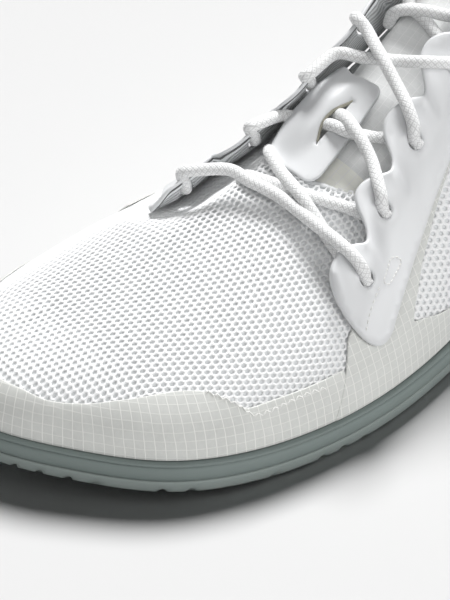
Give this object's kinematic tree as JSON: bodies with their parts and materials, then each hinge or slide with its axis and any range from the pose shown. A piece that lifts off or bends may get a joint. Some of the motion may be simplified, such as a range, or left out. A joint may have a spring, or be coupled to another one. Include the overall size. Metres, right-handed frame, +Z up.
{
  "type": "barefoot shoe",
  "caption": "Low-cut left barefoot shoe with a wide oblique toe, thin flexible sole, mesh upper, lobed eyestays and round lace.",
  "frame": {"origin": "centre of the bounding box, on the ground under the sole", "axes": "+Z up, -Y towards the toe, +X towards the outer (little toe) side"},
  "size_m": [0.1084, 0.2846, 0.112],
  "materials": {
    "sole_rubber": "matte moulded rubber",
    "insole_foam": "textile-covered foam",
    "upper_mesh": "open knitted mesh over a lining",
    "tongue_fabric": "grid-reinforced woven fabric",
    "smooth_film": "smooth satin film",
    "ripstop_film": "translucent film with a woven grid",
    "binding_tape": "woven tape",
    "lace_cord": "round braided cord"
  },
  "bodies": {
    "root": {"outsole": "sole_rubber", "midsole": "sole_rubber", "insole": "insole_foam", "upper": "upper_mesh", "tongue": "tongue_fabric", "lace_keeper_tab": "smooth_film", "eyestay_outer": "smooth_film", "eyestay_inner": "smooth_film", "toe_guard": "ripstop_film", "side_panel_outer": "ripstop_film", "side_panel_inner": "ripstop_film", "heel_counter": "smooth_film", "collar_binding": "binding_tape", "heel_loop": "binding_tape", "lace_front": "lace_cord", "lace_keeper": "lace_cord", "lace_top": "lace_cord", "lace_last": "lace_cord"}
  },
  "joints": []
}
